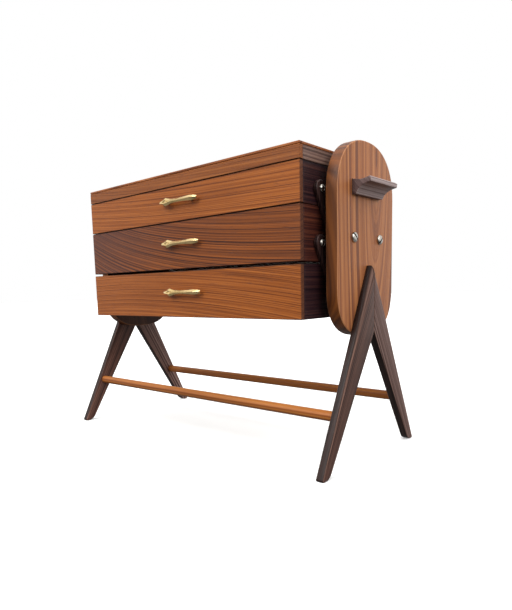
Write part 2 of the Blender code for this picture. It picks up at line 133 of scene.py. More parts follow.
# Grain of a sawn board, X along it. A ring is where the distance from the pith line is the same;
# the pith line is bent by Sweep, which dies away along the board, and by Bow, and it leans by Taper.
def grainGroup():
    inputs = {
        "Spacing": 0.004, "Sweep": 0.0, "SweepLength": 0.2, "Bow": 0.0,
        "PithAcross": 0.3, "PithDepth": 0.05, "Taper": 0.0, "Wave": 0.002, "Seed": 0.0,
        "FadeFrom": 10.0, "FadeTo": 11.0,
    }
    tree, given, result = newGroup("grainFigure", inputs, ("Figure", "Streak", "Pore", "Tone"))
    split = tree.nodes.new("ShaderNodeSeparateXYZ")
    feed(tree, given["Vector"], split.inputs[0])
    x, y, z = split.outputs
    slowPlace = stretched(tree, (x, y, z), grainScales["slow"])
    slow = noise(tree, slowPlace, 1.0, 1.0, 0.4, given["Seed"])
    wave = calc(tree, "MULTIPLY", calc(tree, "SUBTRACT", slow, 0.5), given["Wave"])
    fall = calc(tree, "DIVIDE", calc(tree, "MULTIPLY", x, -1.0), given["SweepLength"])
    decay = calc(tree, "EXPONENT", fall)
    bent = calc(tree, "SUBTRACT", calc(tree, "ADD", y, wave), calc(tree, "MULTIPLY", given["Sweep"], decay))
    bent = calc(tree, "ADD", bent, calc(tree, "MULTIPLY", calc(tree, "MULTIPLY", x, x), given["Bow"]))
    across = calc(tree, "ADD", bent, given["PithAcross"])
    depth = calc(tree, "ADD", z, given["PithDepth"])
    depth = calc(tree, "ADD", depth, calc(tree, "MULTIPLY", x, given["Taper"]))
    reach = calc(tree, "ADD", calc(tree, "MULTIPLY", across, across), calc(tree, "MULTIPLY", depth, depth))
    ring = calc(tree, "DIVIDE", calc(tree, "SQRT", reach), given["Spacing"])
    ring = calc(tree, "ADD", ring, calc(tree, "MULTIPLY", given["Seed"], 7.3))
    feed(tree, spread(tree, noiseLine(tree, ring, 3.0, 0.62), 0.30, 0.70), result["Figure"])
    fibrePlace = stretched(tree, (x, bent, z), grainScales["fibre"])
    fibre = noise(tree, fibrePlace, 1.0, 3.0, 0.65, given["Seed"])
    feed(tree, spread(tree, fibre, 0.28, 0.72), result["Streak"])
    porePlace = stretched(tree, (x, bent, z), grainScales["pore"])
    pore = noise(tree, porePlace, 1.0, 1.0, 0.5, given["Seed"])
    feed(tree, spread(tree, pore, 0.60, 0.72), result["Pore"])
    fade = spread(tree, x, given["FadeFrom"], given["FadeTo"], 1.0, 0.0, True)
    patch = noise(tree, slowPlace, 1.7, 2.0, 0.5, calc(tree, "ADD", given["Seed"], 4.1))
    patch = spread(tree, patch, 0.35, 0.70, -0.2, 0.35)
    feed(tree, calc(tree, "ADD", fade, patch, clamp=True), result["Tone"])
    return tree


# Fine scratches, dull spots and dirt for cast and turned metal
def tarnishGroup():
    inputs = {"Scale": 300.0, "Seed": 0.0}
    tree, given, result = newGroup("tarnish", inputs, ("Spots", "Scratches", "Cloud"))
    spots = noise(tree, given["Vector"], given["Scale"], 4.0, 0.65, given["Seed"])
    feed(tree, spread(tree, spots, 0.52, 0.74), result["Spots"])
    cloudScale = calc(tree, "MULTIPLY", given["Scale"], 0.22)
    cloud = noise(tree, given["Vector"], cloudScale, 2.0, 0.5, given["Seed"])
    feed(tree, spread(tree, cloud, 0.35, 0.68), result["Cloud"])
    stretch = tree.nodes.new("ShaderNodeVectorMath")
    stretch.operation = "MULTIPLY"
    feed(tree, given["Vector"], stretch.inputs[0])
    stretch.inputs[1].default_value = (0.12, 1.0, 6.0)
    lineScale = calc(tree, "MULTIPLY", given["Scale"], 4.0)
    lines = noise(tree, stretch.outputs[0], lineScale, 1.0, 0.5, given["Seed"])
    feed(tree, spread(tree, lines, 0.40, 0.64), result["Scratches"])
    return tree


# Where a surface turns towards X: |x| of its normal gives Turned, and a painted highlight lies along a
# rounded edge, which is 1 - |2t - 1| between the edge's two ends. Inwards is the sign of the X side that the
# painted shade of the inner face is on, or 0.
def turnGroup():
    inputs = {"From": 0.0, "To": 1.0, "FromShare": 0.0, "ToShare": 1.0, "Inwards": 0.0, "EdgeHighlightShare": 0.0}
    tree, given, result = newGroup("turnedFaces", inputs, ("Turned", "PaintedInnerShade", "Worn"))
    split = tree.nodes.new("ShaderNodeSeparateXYZ")
    feed(tree, given["Vector"], split.inputs[0])
    x = split.outputs[0]
    size = calc(tree, "ABSOLUTE", x)
    turned = spread(tree, size, given["From"], given["To"], given["FromShare"], given["ToShare"], True)
    feed(tree, turned, result["Turned"])
    # painted shade on the panel's inner face, towards the boxes
    paintedInnerShade = spread(tree, calc(tree, "MULTIPLY", x, given["Inwards"]), 0.6, 0.95, 0.0, 0.85, True)
    feed(tree, paintedInnerShade, result["PaintedInnerShade"])
    bend = calc(tree, "ABSOLUTE", spread(tree, size, 0.45, 0.98, -1.0, 1.0))
    worn = calc(tree, "MULTIPLY", calc(tree, "SUBTRACT", 1.0, bend), given["EdgeHighlightShare"])
    feed(tree, worn, result["Worn"])
    return tree


# A band of painted shade along the top and bottom edges of the front boards
rimShape = {"width": 0.0021, "uneven": 0.0005, "strength": 0.92, "colour": (0.020, 0.007, 0.005)}


# Painted shade along a lower and an upper edge, where the gaps between the boards are, its border uneven with
# the streaks of the grain
def rimGroup():
    tree, given, result = newGroup("rimShade", {"Low": 0.0, "High": 1.0, "Streak": 0.0}, ("Dirt",))
    split = tree.nodes.new("ShaderNodeSeparateXYZ")
    feed(tree, given["Vector"], split.inputs[0])
    below = calc(tree, "SUBTRACT", split.outputs[2], given["Low"])
    above = calc(tree, "SUBTRACT", given["High"], split.outputs[2])
    uneven = calc(tree, "MULTIPLY", given["Streak"], rimShape["uneven"])
    near = calc(tree, "ADD", calc(tree, "MINIMUM", below, above), uneven)
    # dirt here is painted shade of the gaps, darkest at the edge
    dirt = spread(tree, near, 0.0, rimShape["width"], rimShape["strength"], 0.0, True)
    feed(tree, dirt, result["Dirt"])
    return tree


figure = grainGroup()
tarnish = tarnishGroup()
turnedFaces = turnGroup()
rimShade = rimGroup()


def startMaterial(name):
    material = bpy.data.materials.new(name)
    material.use_nodes = True
    tree = material.node_tree
    place = tree.nodes.new("ShaderNodeTexCoord").outputs["Object"]
    return material, tree, tree.nodes["Principled BSDF"], place


def useGroup(tree, group, vector, values):
    node = tree.nodes.new("ShaderNodeGroup")
    node.node_tree = group
    feed(tree, vector, node.inputs["Vector"])
    for title, value in values.items():
        feed(tree, value, node.inputs[title])
    return node.outputs


alongX = ((1, 0, 0), (0, 0, 1), (0, -1, 0))  # along, across and depth of the grain
alongY = ((0, 1, 0), (0, 0, 1), (1, 0, 0))
alongZ = ((0, 0, 1), (0, 1, 0), (-1, 0, 0))
flat = ((1, 0, 0), (0, 1, 0), (0, 0, 1))
endTint = {  # end grain of the front boards
    "facing": (0.5, 0.9), "share": (0.0, 0.85), "dark": (0.045, 0.016, 0.010), "colour": (0.12, 0.045, 0.028),
}
boards = {
    "lidWood": {
        "axes": alongX, "centre": (0, 0, 0.42), "seed": 3.1, "spacing": 0.0019,
        "sweep": 0.012, "sweepLength": 0.25,
        "dark": (0.085, 0.021, 0.006), "middle": (0.265, 0.078, 0.018), "light": (0.41, 0.140, 0.036),
        "tone": (0.165, 0.048, 0.016), "rims": (0.4151, 0.4400),
    },
    "topFrontWood": {
        "axes": alongX, "centre": (0, 0, 0.388), "seed": 5.7, "spacing": 0.0019,
        "sweep": 0.014, "sweepLength": 0.30,
        "dark": (0.125, 0.030, 0.006), "middle": (0.345, 0.095, 0.017), "light": (0.50, 0.163, 0.034),
        "tone": (0.20, 0.053, 0.012), "rims": (0.3610, 0.4146), "tint": endTint,
    },
    # the grey tone over its left end is partly the wood's darker colour and partly a painted sheen reflection
    "middleFrontWood": {
        "axes": alongX, "centre": (-0.24, 0, 0.323), "seed": 8.3, "spacing": 0.0025,
        "sweep": 0.100, "sweepLength": 0.22,
        "dark": (0.036, 0.010, 0.006), "middle": (0.185, 0.050, 0.012), "light": (0.350, 0.098, 0.020),
        "tone": (0.078, 0.034, 0.031), "toneShare": 0.62, "figureShare": 0.68, "fade": (-0.04, 0.26),
        "rims": (0.2863, 0.3600), "tint": endTint,
    },
    "bottomFrontWood": {
        "axes": alongX, "centre": (-0.14, 0, 0.246), "seed": 1.9, "spacing": 0.0020, "bow": 0.20,
        "dark": (0.100, 0.024, 0.005), "middle": (0.300, 0.081, 0.014), "light": (0.445, 0.138, 0.028),
        "tone": (0.185, 0.048, 0.011), "rims": (0.2091, 0.2827), "tint": endTint,
    },
    "backWood": {
        "axes": alongX, "centre": (0, 0, 0.30), "seed": 11.2, "spacing": 0.0032, "bow": -0.12, "wave": 0.008,
        "dark": (0.100, 0.025, 0.006), "middle": (0.27, 0.074, 0.016), "light": (0.38, 0.120, 0.030),
        "tone": (0.17, 0.046, 0.012),
    },
    "lidBoardWood": {
        "axes": flat, "centre": (0, -0.02, 0.43), "seed": 14.5, "spacing": 0.0048, "bow": 0.25,
        "pithAcross": 0.02, "pithDepth": 0.03, "taper": 0.05, "wave": 0.012,
        "dark": (0.110, 0.028, 0.007), "middle": (0.29, 0.083, 0.020), "light": (0.41, 0.140, 0.040),
        "tone": (0.19, 0.053, 0.015),
    },
    "lidEndWood": {
        "axes": alongY, "centre": (0, 0, 0.42), "seed": 2.2, "spacing": 0.0022, "wave": 0.006,
        "dark": (0.060, 0.030, 0.023), "middle": (0.190, 0.108, 0.085), "light": (0.275, 0.170, 0.132),
        "tone": (0.11, 0.058, 0.045),
    },
    # painted shade: the box ends are darkened nearly to black for the shade of the narrow gap by the end
    # panels
    "endWoodPaintedShade": {
        "axes": alongY, "centre": (0, 0, 0.30), "seed": 6.4, "spacing": 0.0022, "wave": 0.006,
        "dark": (0.006, 0.002, 0.004), "middle": (0.027, 0.009, 0.012), "light": (0.080, 0.030, 0.024),
        "tone": (0.016, 0.006, 0.010),
    },
    # painted shade: the middle box's ends are darkened for the shade of the gap by the end panels
    "middleEndWoodPaintedShade": {
        "axes": alongY, "centre": (0, 0, 0.32), "seed": 16.1, "spacing": 0.0022, "wave": 0.006,
        "dark": (0.009, 0.002, 0.003), "middle": (0.052, 0.012, 0.009), "light": (0.180, 0.054, 0.026),
        "tone": (0.025, 0.007, 0.008),
    },
    # painted light: pale colours lighten the grip's downward cove in place of light bounced from the floor;
    # the tint keeps faces not turned towards X darker
    "handleWoodPaintedLight": {
        "axes": alongY, "centre": (0, 0, 0.39), "seed": 9.9, "spacing": 0.0022, "wave": 0.004,
        "dark": (0.170, 0.112, 0.102), "middle": (0.360, 0.262, 0.248), "light": (0.500, 0.400, 0.385),
        "tone": (0.250, 0.172, 0.162),
        "tint": {
            "facing": (0.1, 0.5), "share": (0.85, 0.0),
            "dark": (0.052, 0.029, 0.027), "colour": (0.150, 0.090, 0.085),
        },
    },
    # painted shade: the levers are darkened nearly to black for the shade of the gap they sit in
    "leverWoodPaintedShade": {
        "axes": alongZ, "centre": (0, 0, 0.35), "seed": 4.4, "spacing": 0.0026, "wave": 0.003,
        "dark": (0.010, 0.004, 0.004), "middle": (0.030, 0.013, 0.012), "light": (0.070, 0.034, 0.028),
        "tone": (0.020, 0.009, 0.008),
    },
    "dowelWood": {
        "axes": alongX, "centre": (0, 0, 0.077), "seed": 7.7, "spacing": 0.0030, "wave": 0.006,
        "dark": (0.19, 0.053, 0.011), "middle": (0.33, 0.102, 0.021), "light": (0.44, 0.160, 0.036),
        "tone": (0.13, 0.037, 0.009), "toneShare": 1.0,
    },
    "plywood": {
        "axes": flat, "centre": (0, 0, 0.3), "seed": 12.1, "spacing": 0.0120, "bow": 0.10,
        "pithAcross": 0.02, "pithDepth": 0.02, "wave": 0.02,
        "dark": (0.36, 0.22, 0.11), "middle": (0.52, 0.36, 0.20), "light": (0.62, 0.46, 0.28),
        "tone": (0.44, 0.29, 0.15),
    },
}
legLean = {"front": -atan(0.555), "rear": atan(0.555)}  # of a leg's middle line from upright
legTones = {
    "front": {
        "dark": (0.022, 0.008, 0.006), "middle": (0.086, 0.037, 0.026), "light": (0.185, 0.086, 0.060),
        "tone": (0.034, 0.013, 0.010),
    },
    "rear": {
        "dark": (0.046, 0.021, 0.016), "middle": (0.155, 0.084, 0.068), "light": (0.300, 0.185, 0.155),
        "tone": (0.080, 0.041, 0.034),
    },
}
# painted light and shade: the left pair is made brighter and the right pair darker
legPaintedLight = {"left": 1.30, "right": 0.90}  # brightness of each side's pair
for word, shade in legPaintedLight.items():
    for place, lean in legLean.items():
        boards[word + place.capitalize() + "LegWood"] = {
            "axes": ((0, -sin(lean), cos(lean)), (0, cos(lean), sin(lean)), (-1, 0, 0)),
            "centre": (0, 0, 0.14), "seed": (10.3 if place == "front" else 13.8) + shade,
            "spacing": 0.0022, "wave": 0.006,
            **{key: tuple(shade * part for part in colour) for key, colour in legTones[place].items()},
            # painted shade: narrow faces turned away from X, such as the legs' front faces, are darkened
            "tint": {
                "facing": (0.3, 0.8), "share": (0.95, 0.0),
                "dark": (0.006, 0.003, 0.002), "colour": (0.030, 0.012, 0.009),
            },
            "wornShare": 0.42, "worn": (0.27, 0.145, 0.105),
        }
for side, word in sides:
    boards[word + "PanelWood"] = {
        "axes": alongZ, "centre": (side * 0.2729, 0.027, 0.345), "seed": 2.6 + side, "spacing": 0.0080,
        "pithAcross": 0.0, "pithDepth": 0.014, "taper": -0.16, "wave": 0.012,
        "dark": (0.205, 0.072, 0.034), "middle": (0.385, 0.136, 0.048), "light": (0.53, 0.215, 0.078),
        "tone": (0.235, 0.084, 0.038), "figureShare": 0.80, "toneShare": 0.9,
        "tint": {"facing": (0.25, 0.75), "share": (0.95, 0.0), "dark": (0.042, 0.011, 0.003),
                 "colour": (0.210, 0.062, 0.011)},
        "innerShadeSide": side, "paintedInnerShade": (0.040, 0.017, 0.013), "wornShare": 0.6, "worn": (0.52, 0.27, 0.14),
    }


woodSurface = {  # what all the woods share
    "figureAt": (0.18, 0.47, 0.84), "poreShare": 0.55, "roughness": (0.46, 0.34), "specular": 0.20,
    "bump": 0.35, "bumpDepth": 0.00025, "streakHeight": 0.4,
}


def woodMaterial(name, look):
    material, tree, shader, place = startMaterial(name)
    turn = Matrix(look["axes"])
    mapping = tree.nodes.new("ShaderNodeMapping")
    feed(tree, place, mapping.inputs["Vector"])
    mapping.inputs["Rotation"].default_value = turn.to_euler()
    mapping.inputs["Location"].default_value = -(turn @ Vector(look["centre"]))
    fade = look.get("fade", (-11.0, -10.0))
    grain = useGroup(tree, figure, mapping.outputs[0], {
        "Spacing": look["spacing"], "Sweep": look.get("sweep", 0.0),
        "SweepLength": look.get("sweepLength", 0.2), "Bow": look.get("bow", 0.0),
        "PithAcross": look.get("pithAcross", 0.30), "PithDepth": look.get("pithDepth", 0.05),
        "Taper": look.get("taper", 0.0), "Wave": look.get("wave", 0.004), "Seed": look["seed"],
        "FadeFrom": fade[0], "FadeTo": fade[1],
    })
    share = look.get("figureShare", 0.58)
    rings = calc(tree, "MULTIPLY", grain["Figure"], share)
    both = calc(tree, "ADD", rings, calc(tree, "MULTIPLY", grain["Streak"], 1 - share))
    ramp = tree.nodes.new("ShaderNodeValToRGB")
    feed(tree, both, ramp.inputs[0])
    darkAt, middleAt, lightAt = woodSurface["figureAt"]
    ramp.color_ramp.elements[0].color = (*look["dark"], 1)
    ramp.color_ramp.elements[0].position = darkAt
    ramp.color_ramp.elements[1].color = (*look["light"], 1)
    ramp.color_ramp.elements[1].position = lightAt
    ramp.color_ramp.elements.new(middleAt).color = (*look["middle"], 1)
    toneShare = calc(tree, "MULTIPLY", grain["Tone"], look.get("toneShare", 0.75))
    toned = blendColour(tree, toneShare, ramp.outputs[0], (*look["tone"], 1))
    pores = calc(tree, "MULTIPLY", grain["Pore"], woodSurface["poreShare"])
    colour = blendColour(tree, pores, toned, (*look["dark"], 1))
    if "tint" in look:  # another colour where the surface turns towards X, or away from it
        tint = look["tint"]
        normal = tree.nodes.new("ShaderNodeTexCoord").outputs["Normal"]
        masks = useGroup(tree, turnedFaces, normal, {
            "From": tint["facing"][0], "To": tint["facing"][1],
            "FromShare": tint["share"][0], "ToShare": tint["share"][1],
            "Inwards": -look.get("innerShadeSide", 0), "EdgeHighlightShare": look.get("wornShare", 0.0),
        })
        edge = blendColour(tree, both, (*tint["dark"], 1), (*tint["colour"], 1))
        colour = blendColour(tree, masks["Turned"], colour, edge)
        if "paintedInnerShade" in look:  # painted shade on the face towards the boxes
            colour = blendColour(tree, masks["PaintedInnerShade"], colour, (*look["paintedInnerShade"], 1))
        if "worn" in look:  # painted highlight of paler wood along the rounded edges
            colour = blendColour(tree, masks["Worn"], colour, (*look["worn"], 1))
    # painted shade along the gaps at the board's top and bottom edges
    if "rims" in look:
        heights = {"Low": look["rims"][0], "High": look["rims"][1], "Streak": grain["Streak"]}
        dirt = useGroup(tree, rimShade, place, heights)["Dirt"]
        colour = blendColour(tree, dirt, colour, (*rimShape["colour"], 1))
    feed(tree, colour, shader.inputs["Base Color"])
    feed(tree, spread(tree, grain["Streak"], 0, 1, *woodSurface["roughness"]), shader.inputs["Roughness"])
    shader.inputs["Specular IOR Level"].default_value = woodSurface["specular"]  # oiled, not varnished
    bump = tree.nodes.new("ShaderNodeBump")
    bump.inputs["Strength"].default_value = woodSurface["bump"]
    bump.inputs["Distance"].default_value = woodSurface["bumpDepth"]
    raised = calc(tree, "MULTIPLY", grain["Streak"], woodSurface["streakHeight"])
    feed(tree, calc(tree, "SUBTRACT", raised, grain["Pore"]), bump.inputs["Height"])
    feed(tree, bump.outputs[0], shader.inputs["Normal"])
    return material


metals = {
    "agedBrass": {
        "bright": (0.92, 0.68, 0.33), "dull": (0.60, 0.42, 0.14), "dirt": (0.14, 0.09, 0.03),
        "smooth": 0.14, "rough": 0.30, "scale": 110.0, "seed": 2.0,
        "metallic": 0.94, "dirtShare": 0.25, "bump": 0.04,
    },
    "hingeBrass": {
        "bright": (0.66, 0.49, 0.22), "dull": (0.42, 0.30, 0.12), "dirt": (0.24, 0.17, 0.07),
        "smooth": 0.30, "rough": 0.48, "scale": 420.0, "seed": 6.0,
    },
    "nickelPlate": {
        "bright": (0.66, 0.63, 0.57), "dull": (0.30, 0.275, 0.235), "dirt": (0.09, 0.075, 0.05),
        "smooth": 0.12, "rough": 0.34, "scale": 420.0, "seed": 9.0, "grime": (0.025, 0.018, 0.012),
    },
}


metalSurface = {"dullShare": 0.55, "scratchWear": 0.4, "cloudWear": 0.6, "bumpDepth": 0.00008}


def metalMaterial(name, look):
    material, tree, shader, place = startMaterial(name)
    age = useGroup(tree, tarnish, place, {"Scale": look["scale"], "Seed": look["seed"]})
    dulled = calc(tree, "MULTIPLY", age["Cloud"], metalSurface["dullShare"])
    colour = blendColour(tree, dulled, (*look["bright"], 1), (*look["dull"], 1))
    dirty = calc(tree, "MULTIPLY", age["Spots"], look.get("dirtShare", 0.60))
    colour = blendColour(tree, dirty, colour, (*look["dirt"], 1))
    if "grime" in look:  # dark grime in a screw's slot
        slotGrime = tree.nodes.new("ShaderNodeAttribute")
        slotGrime.attribute_name = "slotGrime"
        colour = blendColour(tree, slotGrime.outputs["Fac"], colour, (*look["grime"], 1))
    feed(tree, colour, shader.inputs["Base Color"])
    shader.inputs["Metallic"].default_value = look.get("metallic", 1.0)
    scratched = calc(tree, "MULTIPLY", age["Scratches"], metalSurface["scratchWear"])
    wear = calc(tree, "ADD", scratched, calc(tree, "MULTIPLY", age["Cloud"], metalSurface["cloudWear"]))
    feed(tree, spread(tree, wear, 0, 1, look["smooth"], look["rough"]), shader.inputs["Roughness"])
    bump = tree.nodes.new("ShaderNodeBump")
    bump.inputs["Strength"].default_value = look.get("bump", 0.25)
    bump.inputs["Distance"].default_value = metalSurface["bumpDepth"]
    feed(tree, calc(tree, "SUBTRACT", age["Scratches"], age["Spots"]), bump.inputs["Height"])
    feed(tree, bump.outputs[0], shader.inputs["Normal"])
    return material


finishes = {name: woodMaterial(name, look) for name, look in boards.items()}
finishes.update({name: metalMaterial(name, look) for name, look in metals.items()})
print("finishes made:", len(finishes))


# Faces between the rings of a grid of points, and a flat face over each end ring
def ringFaces(count, around):
    ring, step = np.meshgrid(np.arange(count - 1), np.arange(around), indexing="ij")
    here, ahead = ring * around + step, ring * around + (step + 1) % around
    quads = np.stack((here, ahead, ahead + around, here + around), -1).reshape(-1, 4)
    first, last = np.arange(around)[::-1], np.arange(around) + (count - 1) * around
    return quads.tolist() + [first.tolist(), last.tolist()]


# Makes an object of closed surfaces and turns it face outwards: its volume, summed over fans, is positive
def buildObject(name, shells):
    points, faces = [], []
    for shell, shellFaces in shells:
        shell = np.asarray(shell, float).reshape(-1, 3)
        volume = 0.0
        for corners in (np.array(f) for f in shellFaces):
            a, b, c = shell[corners[0]], shell[corners[1:-1]], shell[corners[2:]]
            volume += float((np.cross(b, c) @ a).sum())
        start = sum(len(p) for p in points)
        points.append(shell)
        faces += [[start + i for i in (f if volume > 0 else f[::-1])] for f in shellFaces]
    mesh = bpy.data.meshes.new(name)
    mesh.from_pydata(np.concatenate(points).tolist(), [], faces)
    piece = bpy.data.objects.new(name, mesh)
    bpy.context.scene.collection.objects.link(piece)
    return piece


# Joins a helper shape to a piece, and keeps the result as the piece's own mesh
def joinShape(piece, helper):
    change = piece.modifiers.new("joinShape", "BOOLEAN")
    change.object = helper
    change.operation = "UNION"
    graph = bpy.context.evaluated_depsgraph_get()
    mesh = bpy.data.meshes.new_from_object(piece.evaluated_get(graph))
    piece.modifiers.clear()
    piece.data = mesh
    bpy.data.objects.remove(helper)


def settle(piece, body, finishName, replaced, crease=34):  # finish and body of a done piece, and the part it replaces hidden
    piece.data.materials.clear()
    piece.data.materials.append(finishes[finishName])
    piece.data.shade_smooth()
    piece.data.set_sharp_from_angle(angle=radians(crease))
    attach(piece, body)
    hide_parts(replaced)


# A circle of radii[i] at each xs[i] along X: x, then y and z by cosine and sine
def turnedRings(xs, radii, y, z, around):
    angle = np.arange(around) * 2 * pi / around
    xs, radii = np.asarray(xs, float)[:, None], np.asarray(radii, float)[:, None]
    grid = np.stack((xs + 0 * angle, y + radii * np.cos(angle), z + radii * np.sin(angle)), -1)
    return grid, ringFaces(len(grid), around)


# Offset of a closed outline inwards by the given amount, along the normal of its neighbours' chord
def insetOutline(outline, amount):
    chord = np.roll(outline, -1, 0) - np.roll(outline, 1, 0)
    normal = np.stack((-chord[:, 1], chord[:, 0]), -1) / np.linalg.norm(chord, axis=1)[:, None]
    return outline + normal * amount


# An outline running anticlockwise, carried through depth: quarter circles round both its face edges.
# The result is rows of (depth, outline point), its depth from low to high.
def roundedSlab(outline, low, high, lowRadius, highRadius, steps):
    turn = np.linspace(0, pi / 2, steps)
    back, inwards = 1 - np.sin(turn), 1 - np.cos(turn)
    depths = np.concatenate((low + lowRadius * back, high - highRadius * back[::-1]))
    insets = np.concatenate((lowRadius * inwards, highRadius * inwards[::-1]))
    order = np.argsort(depths, kind="stable")
    outlines = [insetOutline(outline, i) for i in insets[order]]
    rows = [np.column_stack((np.full(len(o), d), o)) for d, o in zip(depths[order], outlines)]
    return np.array(rows)


panelShape = {
    "headHeight": 0.0755, "footHeight": 0.0700, "headPower": 2.3, "footPower": 2.6,
    "edge": 0.0019, "innerEdge": 0.0018, "steps": 44,
}


# The right half of an arch, |y/w|^p + |z/h|^p = 1: w cos^(2/p) and h sin^(2/p) of an angle
def archOutline(halfWidth, height, power):
    angle = pi / 2 * np.linspace(0, 1, panelShape["steps"])
    across, up = halfWidth * np.cos(angle) ** (2 / power), height * np.sin(angle) ** (2 / power)
    return np.stack((across, up), -1)


# An arch for the head, another upside down for the foot, and straight sides between them
def makePanel(side, word):
    name = word + "_end_panel"
    low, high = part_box(name)
    halfWidth = high.y
    head = archOutline(halfWidth, panelShape["headHeight"], panelShape["headPower"])
    foot = archOutline(halfWidth, -panelShape["footHeight"], panelShape["footPower"])
    head[:, 1] += high.z - panelShape["headHeight"]
    foot[:, 1] += low.z + panelShape["footHeight"]
    right = np.concatenate((foot[::-1], head))
    left = right[::-1][1:-1] * (-1, 1)
    outline = np.concatenate((right, left))
    inner, outer = sorted((abs(low.x), abs(high.x)))
    rows = roundedSlab(outline, inner, outer, panelShape["innerEdge"], panelShape["edge"], 6)
    rows[..., 0] *= side
    piece = buildObject(word + "EndPanel", [(rows, ringFaces(len(rows), rows.shape[1]))])
    settle(piece, "root", word + "PanelWood", name)


for side, word in sides:
    makePanel(side, word)
print("end panels made")

legShape = {
    "footY": 0.1350, "footWidth": 0.0170, "apex": 0.2838, "crotch": 0.1866,
    "footRound": 0.018, "footCorner": 0.0030,
    "edges": ((0, 0.22, 0.268), (0.0022, 0.0056, 0.0095)),  # heights, and the edge's radius there
    "edgeDepths": ((0, 0.20, 0.26), (0.0022, 0.0056, 0.0108)),
    "smallEdge": 0.0012, "tipRound": 0.0022, "mitre": 0.00015, "leastWidth": 0.0001,
    "sections": 72, "closeShare": 0.25,
}


# A leg is level sections stacked from floor to apex. At each height its inner and outer edge come
# from two straight lines. The floor end of the inner line turns into a circle, and so does the tip of
# the outer one. The outer face's long edge is an ellipse whose radii grow upwards, and what passes
# the mitre plane is held on it.
def makeLeg(side, word, front, place):
    name = f"{word}_{place}_leg"
    shape = legShape
    low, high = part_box(name)
    inner, outer = sorted((abs(low.x), abs(high.x)))
    outerSlope = shape["footY"] / shape["apex"]
    innerSlope = (shape["footY"] - shape["footWidth"]) / shape["crotch"]
    lean = sqrt(1 + innerSlope ** 2)
    bend, heel = shape["footRound"], shape["footCorner"]
    arcY = shape["footY"] - shape["footWidth"] + bend * (lean - innerSlope)
    tipLean = sin(atan(outerSlope))
    tipZ = shape["apex"] - shape["tipRound"] / tipLean
    top = tipZ + shape["tipRound"] * 0.98
    t, close = np.linspace(0, 1, shape["sections"]), shape["closeShare"]
    lowPart = 0.1 * (1 - np.cos(t / close * pi / 2))  # closer sections at the foot and at the tip
    highPart = 0.1 + 0.9 * np.sin((t - close) / (1 - close) * pi / 2)
    z = top * np.where(t < close, lowPart, highPart)
    arcY = arcY - np.sqrt(np.maximum(bend ** 2 - (bend - np.minimum(z, bend)) ** 2, 0))
    line = shape["footY"] - shape["footWidth"] - innerSlope * z
    inY = np.maximum(np.where(z < bend * (1 - innerSlope / lean), arcY, line), shape["mitre"])
    outY = shape["footY"] - outerSlope * z
    tip = np.sqrt(np.maximum(shape["tipRound"] ** 2 - (z - tipZ) ** 2, 0))
    outY = np.where(z > tipZ + shape["tipRound"] * tipLean, tip, outY)
    outY = outY - heel * np.maximum(1 - z / heel, 0) ** 2
    outY = np.maximum(outY, inY + shape["leastWidth"])
    edge, depth = np.interp(z, *shape["edges"]), np.interp(z, *shape["edgeDepths"])
    small = shape["smallEdge"] * np.clip((outY - inY) / 0.006, 0.05, 1)
    soft = np.maximum(shape["smallEdge"] * (1 - z / shape["smallEdge"]), 0) ** 2 / shape["smallEdge"]
    xIn, xOut = inner + soft, outer - soft

    def corner(x, y, radiusX, radiusY, first, steps):  # a quarter ellipse at each height
        angle = first + np.linspace(0, pi / 2, steps)[None, :]
        across, along = radiusX[:, None] * np.cos(angle), radiusY[:, None] * np.sin(angle)
        return np.stack((x[:, None] + across, y[:, None] + along), -1)

    section = np.concatenate((
        corner(xIn + small, inY + small, small, small, pi, 4),
        corner(xOut - small, inY + small, small, small, 1.5 * pi, 4),
        corner(xOut - depth, outY - edge, depth, edge, 0.0, 14),
        corner(xIn + small, outY - small, small, small, 0.5 * pi, 4),
    ), 1)
    sectionX, sectionY = section[..., 0], section[..., 1]
    past = outY - edge - shape["mitre"]  # below zero where the arc's centre lies past the mitre
    crossing = xOut - depth + depth * np.sqrt(np.maximum(1 - (np.minimum(past, 0) / edge) ** 2, 0))
    limit = np.where(past < 0, crossing, xOut)[:, None]
    sectionX = np.minimum(sectionX, limit)
    sectionY = np.maximum(sectionY, inY[:, None])
    height = np.repeat(z[:, None], section.shape[1], 1)
    rows = np.stack((side * sectionX, front * sectionY, height), -1)
    piece = buildObject(f"{word}{place.capitalize()}Leg", [(rows, ringFaces(len(rows), rows.shape[1]))])
    settle(piece, "root", f"{word}{place.capitalize()}LegWood", name)


for side, word in sides:
    for front, place in places:
        makeLeg(side, word, front, place)
print("legs made")

gripShape = {
    "scoop": 0.0022, "lipIn": 0.0262, "lipOut": 0.0290, "lipDrop": 0.0022, "lipBase": 0.0284,
    "lipBottom": 0.0074, "lipRound": 0.0006, "foot": 0.0072, "footRound": 0.0012, "coveBow": 0.75,
    "edge": 0.0009,
}


